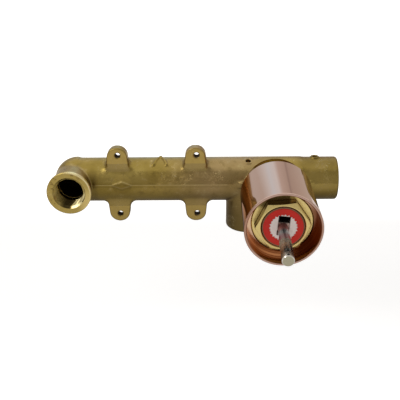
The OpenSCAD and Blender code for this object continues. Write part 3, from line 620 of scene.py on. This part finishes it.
def chamfered_nut():
    """The cartridge nut with the real one's chamfer, which rounds its hexagon's front edge."""
    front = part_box("cartridge_nut")[0].y
    place = axis_frame(Vector((PIVOT.x, front, PIVOT.z)), (0, -1, 0))
    slope = math.tan(math.radians(NUT_CHAMFER))
    columns = []
    for step in range(NUT_STEPS):
        angle = math.tau * step / NUT_STEPS
        off_flat = math.radians((math.degrees(angle) - NUT_TURN) % 60 - 30)
        side = NUT_HEX / 2 / math.cos(off_flat)
        profile = [
            (NUT_BORE_R + 0.5 * MM, 0), (NUT_FACE_R, 0), (side, -(side - NUT_FACE_R) * slope),
            (side, -NUT_HEX_H + 0.25 * MM), (side + 0.25 * MM, -NUT_HEX_H),
            (NUT_FLANGE_R - 0.4 * MM, -NUT_HEX_H), (NUT_FLANGE_R, -NUT_HEX_H - 0.4 * MM),
            (NUT_FLANGE_R, -NUT_FLANGE_BACK), (NUT_THREAD_R, -NUT_FLANGE_BACK),
            (NUT_THREAD_R, -NUT_BACK + 0.5 * MM), (NUT_THREAD_R - 0.5 * MM, -NUT_BACK),
            (NUT_BORE_R, -NUT_BACK), (NUT_BORE_R, -0.5 * MM),
        ]
        columns.append([
            place @ Vector((r * math.cos(angle), r * math.sin(angle), h)) for r, h in profile
        ])
    nut = ring_mesh("nut", columns)
    shade(nut, 25)
    return nut


def toothed_lip():
    """Front lip of the limit ring: its teeth reach a little over the guide's head."""
    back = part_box("temperature_limit_ring")[0].y
    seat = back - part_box("lever_guide")[0].y
    place = axis_frame(Vector((PIVOT.x, back, PIVOT.z)), (0, -1, 0))
    top = seat + LIP_CLEAR + LIP_THICK
    columns = []
    per_tooth = 6
    for step in range(LIP_TEETH * per_tooth):
        angle = math.tau * step / (LIP_TEETH * per_tooth)
        along = abs(2 * (step % per_tooth) / per_tooth - 1)
        tip = LIP_TIP_R + (LIP_ROOT_R - LIP_TIP_R) * along
        profile = [
            (LIP_SEAT_R, 0), (LIP_R, 0), (LIP_R, top - 0.15 * MM), (LIP_R - 0.15 * MM, top),
            (tip, top), (tip, seat + LIP_CLEAR), (LIP_SEAT_R, seat + LIP_CLEAR),
        ]
        columns.append([
            place @ Vector((r * math.cos(angle), r * math.sin(angle), h)) for r, h in profile
        ])
    lip = ring_mesh("limit_ring_lip", columns)
    shade(lip, 25)
    return lip


def thread_radius(height, turn):
    """Radius of the pipe thread's wall at a depth and a part of a turn."""
    phase = (height / PIPE_PITCH + turn) % 1.0
    wave = 0.5 - 0.5 * math.cos(math.tau * phase)
    shaded_flank = min(max(1.25 * (wave - 0.5) + 0.5, 0), 1)
    return PIPE_CREST_R + (PIPE_ROOT_R - PIPE_CREST_R) * shaded_flank


def threaded_port(name, origin, axis, face_r, band):
    """Machined end of a port: outer band, face, mouth chamfer and the pipe thread in it."""
    place = axis_frame(origin, axis)
    segments = 112
    steps = 76
    edge = 0.35 * MM
    start = -(PIPE_MOUTH_R - PIPE_CREST_R)
    front = [
        (PORT_SLEEVE_R, -band), (face_r, -band), (face_r, -edge), (face_r - edge, 0),
        (PIPE_MOUTH_R + 0.15 * MM, 0), (PIPE_MOUTH_R, -0.12 * MM),
    ]
    columns = []
    for step in range(segments):
        turn = step / segments
        points = list(front)
        for i in range(steps + 1):
            depth = start * 0.72 - THREAD_DEPTH * i / steps
            cone = PIPE_MOUTH_R + depth if depth > start else PIPE_CREST_R
            run_out = min(1.0, max(0.0, (depth + THREAD_DEPTH) / (1.5 * PIPE_PITCH)))
            wall = PIPE_CREST_R + (thread_radius(depth, turn) - PIPE_CREST_R) * run_out
            points.append((max(cone, wall), depth))
        deep = points[-1][1]
        points += [(PIPE_CREST_R, deep - 1.2 * MM), (PORT_SLEEVE_R, deep - 1.2 * MM)]
        angle = math.tau * turn
        columns.append([
            place @ Vector((r * math.cos(angle), r * math.sin(angle), h)) for r, h in points
        ])
    piece = ring_mesh(name, columns)
    shade(piece, 35)
    return piece


def shade(piece, angle):
    """Smooth shading, with edges sharper than an angle kept sharp."""
    data = piece.data
    data.polygons.foreach_set("use_smooth", [True] * len(data.polygons))
    data.set_sharp_from_angle(angle=math.radians(angle))


def neighbour_means(points, edges):
    count = np.bincount(edges.ravel(), minlength=len(points)).clip(1)
    total = np.zeros_like(points)
    for k in range(3):
        total[:, k] = (
            np.bincount(edges[:, 0], points[edges[:, 1], k], len(points))
            + np.bincount(edges[:, 1], points[edges[:, 0], k], len(points))
        )
    return total / count[:, None]


def smooth_points(points, edges, weight, rounds):
    """Moves each point towards the mean of its neighbours, by its own weight."""
    for _ in range(rounds):
        points += weight[:, None] * (neighbour_means(points, edges) - points)
    return points


def fill_creases(points, edges, normals, weight, rounds):
    """Rounds inside corners: points move out along their normals, never in."""
    near = edges[weight[edges].max(axis=1) > 0]
    for _ in range(rounds):
        push = ((neighbour_means(points, near) - points) * normals).sum(axis=1).clip(0)
        points += (weight * push)[:, None] * normals
    return points


def step(values, low, high):
    t = np.clip((values - low) / (high - low), 0, 1)
    return t * t * (3 - 2 * t)


def casting():
    """The cast body: its solid with soft cast edges and fillets, open for the machined ports."""
    mesh = frame["nodes"]["valve_body"].data.copy()
    weld = bmesh.new()
    weld.from_mesh(mesh)
    bmesh.ops.remove_doubles(weld, verts=weld.verts, dist=1e-6)
    weld.to_mesh(mesh)
    weld.free()
    body = linked("cast_body", mesh)
    low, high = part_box("valve_body")
    ports = [
        (OUTLET, (0, -1, 0), 2.0 * MM),
        (Vector((high.x, TUBE_Y, 0)), (1, 0, 0), 0.4 * MM),
        (Vector((HOT_X, TUBE_Y, low.z)), (0, 0, -1), 0.4 * MM),
    ]
    cutters = []
    for origin, axis, band in ports:
        place = axis_frame(origin, axis)
        cut_depth = THREAD_DEPTH + 2.3 * MM
        cutter = lathe("cutter", [
            (0.0001 * MM, 5 * MM), (20 * MM, 5 * MM), (20 * MM, -band + 0.1 * MM),
            (PORT_SLEEVE_R - 0.1 * MM, -band + 0.1 * MM), (PORT_SLEEVE_R - 0.1 * MM, -cut_depth),
            (0.0001 * MM, -cut_depth),
        ], place, 64)
        cutters.append(cutter)
        cut = body.modifiers.new("cut", "BOOLEAN")
        cut.operation = "DIFFERENCE"
        cut.solver = "EXACT"
        cut.object = cutter
    remesh = body.modifiers.new("remesh", "REMESH")
    remesh.mode = "VOXEL"
    remesh.voxel_size = 0.5 * MM
    evaluated(body)
    for cutter in cutters:
        bpy.data.objects.remove(cutter)
    data = body.data
    count = len(data.vertices)
    points = np.empty(count * 3)
    data.vertices.foreach_get("co", points)
    points = points.reshape(-1, 3)
    edges = np.empty(len(data.edges) * 2, np.int64)
    data.edges.foreach_get("vertices", edges)
    edges = edges.reshape(-1, 2)
    x, y, z = points.T
    weight = np.full(count, 0.5)
    near_port = np.zeros(count)
    for origin, axis, band in ports:
        depth = (points - np.array(origin)) @ -np.array(axis, float)
        near_port = np.maximum(near_port, 1 - step(depth, 2.5 * MM, 4.5 * MM))
    pads = step(np.abs(z), 14.4 * MM, 15.2 * MM) * (1 - step(x, 36 * MM, 38 * MM))
    weight *= 1 - 0.75 * near_port
    weight *= 1 - 0.72 * pads
    front = 1 - step(y, TUBE_Y - 13 * MM, TUBE_Y - 12 * MM)
    marks = front * (1 - step(np.abs(z - PARTING_Z), 3 * MM, 4 * MM)) * (1 - step(x, 44 * MM, 46 * MM))
    weight *= 1 - 0.75 * marks
    points = smooth_points(points, edges, weight, 10)
    normals = np.empty(count * 3)
    data.vertices.foreach_get("normal", normals)
    lug_gap = np.minimum(np.abs(x - LUG_HOLE_X), np.abs(x + LUG_HOLE_X))
    roots = 1 - step(lug_gap, 13 * MM, 16 * MM)
    roots *= step(np.abs(z), 6 * MM, 8 * MM) * (1 - step(np.abs(z), 14.4 * MM, 15.2 * MM))
    roots *= 1 - step(y, -4 * MM, -2 * MM)
    points = fill_creases(points, edges, normals.reshape(-1, 3), 0.5 * roots, 110)
    data.vertices.foreach_set("co", points.ravel())
    data.update()
    print("casting vertices", count)
    thin = body.modifiers.new("thin", "DECIMATE")
    thin.ratio = min(1.0, 190000 / max(1, 2 * len(data.polygons)))
    evaluated(body)
    data = body.data
    data.polygons.foreach_set("use_smooth", [True] * len(data.polygons))
    data.update()
    return body, ports


def paint(piece, material):
    piece.data.materials.clear()
    piece.data.materials.append(material)


def finish_node(name, material):
    node = frame["nodes"][name]
    node.data.materials.clear()
    node.data.materials.append(material)


def floor():
    size = 3.0
    level = -0.125
    mesh = bpy.data.meshes.new("floor")
    mesh.from_pydata(
        [(-size, -size, level), (size, -size, level), (size, size, level), (-size, size, level)],
        [], [(0, 1, 2, 3)],
    )
    made = linked("floor", mesh)
    material = bpy.data.materials.new("floor")
    material.use_nodes = True
    tree = material.node_tree
    bsdf = tree.nodes["Principled BSDF"]
    bsdf.inputs["Base Color"].default_value = (0.8, 0.8, 0.8, 1)
    bsdf.inputs["Roughness"].default_value = 1.0
    bsdf.inputs["Specular IOR Level"].default_value = 0.0
    path = tree.nodes.new("ShaderNodeLightPath")
    seen = tree.nodes.new("ShaderNodeMath")
    seen.operation = "MAXIMUM"
    tree.links.new(path.outputs["Is Camera Ray"], seen.inputs[0])
    seen2 = tree.nodes.new("ShaderNodeMath")
    seen2.operation = "MAXIMUM"
    tree.links.new(path.outputs["Is Glossy Ray"], seen2.inputs[0])
    tree.links.new(path.outputs["Is Transmission Ray"], seen2.inputs[1])
    tree.links.new(seen2.outputs[0], seen.inputs[1])
    glow = tree.nodes.new("ShaderNodeMath")
    glow.operation = "MULTIPLY"
    glow.inputs[1].default_value = 0.68
    tree.links.new(seen.outputs[0], glow.inputs[0])
    bsdf.inputs["Emission Color"].default_value = (1, 1, 1, 1)
    tree.links.new(glow.outputs[0], bsdf.inputs["Emission Strength"])
    made.data.materials.append(material)


def glow(name, vertices, faces, tones):
    """A studio card lit by its vertex tones: reflections see it, the camera doesn't."""
    mesh = bpy.data.meshes.new(name)
    mesh.from_pydata(vertices, [], faces)
    colours = mesh.color_attributes.new("tone", "FLOAT_COLOR", "POINT")
    for i, tone in enumerate(tones):
        colours.data[i].color = (*tone, 1)
    made = linked(name, mesh)
    material = bpy.data.materials.new(name)
    material.use_nodes = True
    tree = material.node_tree
    tone = tree.nodes.new("ShaderNodeAttribute")
    tone.attribute_name = "tone"
    emission = tree.nodes.new("ShaderNodeEmission")
    tree.links.new(tone.outputs["Color"], emission.inputs["Color"])
    tree.links.new(emission.outputs[0], tree.nodes["Material Output"].inputs["Surface"])
    mesh.materials.append(material)
    made.visible_camera = False
    made.visible_shadow = False
    return made


def round_card(name, low, high, stops):
    """Part of the round studio wall: stops of (azimuth from the back, tone), blended between."""
    vertices, tones = [], []
    for (start, tone), (end, next_tone) in zip(stops, stops[1:]):
        steps = max(1, math.ceil((end - start) / 6))
        for i in range(steps + 1):
            angle = math.radians(start + (end - start) * i / steps)
            blend = i / steps
            for elevation in (low, high):
                vertices.append((
                    STUDIO_R * math.sin(angle), STUDIO_R * math.cos(angle),
                    STUDIO_R * math.tan(math.radians(elevation)),
                ))
                tones.append([a + (b - a) * blend for a, b in zip(tone, next_tone)])
    faces = [(2 * i, 2 * i + 1, 2 * i + 3, 2 * i + 2) for i in range(len(vertices) // 2 - 1)]
    return glow(name, vertices, faces, tones)


def floor_cards():
    """Darker cards under the part, lighter towards the room."""
    half = STUDIO_R
    vertices, tones = [], []
    for y, tone in (
        (-half, 0.64), (-0.55, 0.62), (-0.28, 0.64), (-0.13, 0.54), (-0.04, 0.40),
        (0.05, 0.26), (0.20, 0.26), (0.27, 0.80), (half, 0.80),
    ):
        vertices += [(-half, y, BOARD_Z), (half, y, BOARD_Z)]
        tones += [tuple(tone * c for c in (1.0, 0.96, 0.92))] * 2
    faces = [(2 * i, 2 * i + 1, 2 * i + 3, 2 * i + 2) for i in range(len(vertices) // 2 - 1)]
    glow("floor_cards", vertices, faces, tones)


def studio():
    """White world, with grey cards round the part as in the photograph's studio."""
    made = bpy.data.worlds.new("studio")
    scene.world = made
    made.use_nodes = True
    background = made.node_tree.nodes["Background"]
    background.inputs["Color"].default_value = (1, 1, 1, 1)
    background.inputs["Strength"].default_value = 1.0
    front = (0.42, 0.40, 0.37)
    side = (0.56, 0.55, 0.53)
    round_card("card_front", -6, 62.6, [(100, side), (125, front), (235, front), (260, side)])
    round_card("card_back", -6, 31, [
        (-100, side), (-17, (0.57, 0.54, 0.50)), (-10, (0.70, 0.76, 0.78)), (-5, (0.72, 0.86, 0.95)),
        (3, (0.76, 0.84, 0.88)), (8, (0.60, 0.55, 0.51)), (16.5, (0.51, 0.45, 0.40)),
        (18, (0.39, 0.33, 0.30)), (20, (0.48, 0.42, 0.37)), (33, (0.56, 0.49, 0.42)), (100, side),
    ])
    floor_cards()


def lamp(name, place, towards, size, power):
    data = bpy.data.lights.new(name, "AREA")
    data.shape = "RECTANGLE"
    data.size, data.size_y = size
    data.energy = power
    made = bpy.data.objects.new(name, data)
    scene.collection.objects.link(made)
    aim = Vector(towards) - Vector(place)
    made.matrix_world = Matrix.Translation(place) @ aim.to_track_quat("-Z", "Y").to_matrix().to_4x4()
    return made


add_camera()
studio()
floor()
lamp("key", (-0.47, -0.40, 0.52), (0.02, 0, 0), (0.45, 0.45), 1.2)

brass = cast_brass()
port_brass = turned_brass("port_brass", (0.50, 0.38, 0.13), 0.28, OUTLET, "y")
body, ports = casting()
paint(body, brass)
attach(body, "body")
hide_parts("valve_body")
for name, (origin, axis, band), face_r, finish in zip(
    ("outlet_end", "cold_inlet_end", "hot_inlet_end"), ports,
    (14.7 * MM, 14.3 * MM, 14.1 * MM), (outlet_brass(), port_brass, port_brass)
):
    end = threaded_port(name, origin, axis, face_r, band)
    paint(end, finish)
    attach(end, "body")

finish_node("shroud", rose_gold())
nut = chamfered_nut()
paint(nut, nut_brass())
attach(nut, "body")
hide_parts("cartridge_nut")
tan = plastic("cartridge_tan", (0.33, 0.185, 0.105), 0.5, gloss=0.15)
grey = plastic("cartridge_grey", (0.32, 0.33, 0.35), 0.5)
white = guide_white()
red = plastic("limit_red", (0.73, 0.034, 0.023), 0.42, gloss=0.25)
rubber = plastic("rubber", (0.02, 0.02, 0.02), 0.55)
ceramic = plastic("ceramic", (0.86, 0.85, 0.83), 0.15)
pin_steel = tapered_steel()
lip = toothed_lip()
paint(lip, red)
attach(lip, "turret")
stem = stem_steel()
screw = steel("screw_steel", (0.13, 0.12, 0.11), 0.45)
for name, material, slot in (
    ("cartridge_housing", tan, "cartridge_tan"), ("cartridge_base", grey, "cartridge_grey"),
    ("disc_carrier", grey, "cartridge_grey"), ("lever_guide", white, "guide_white"),
    ("temperature_limit_ring", red, "limit_red"), ("port_seals", rubber, "rubber"),
    ("disc_seals", rubber, "rubber"), ("shroud_o_ring_front", rubber, "rubber"),
    ("shroud_o_ring_rear", rubber, "rubber"), ("guide_o_ring", rubber, "rubber"),
    ("fixed_disc", ceramic, "ceramic"), ("moving_disc", ceramic, "ceramic"),
    ("lever_pivot_pin", stem, "steel"), ("lever_stem", stem, "steel"),
    ("lever_pin", pin_steel, "steel"), ("stem_grub_screw", pin_steel, "steel"),
    ("handle_grub_screw", screw, "screw_steel"),
):
    finish_node(name, material)

scene.view_settings.view_transform = "Standard"
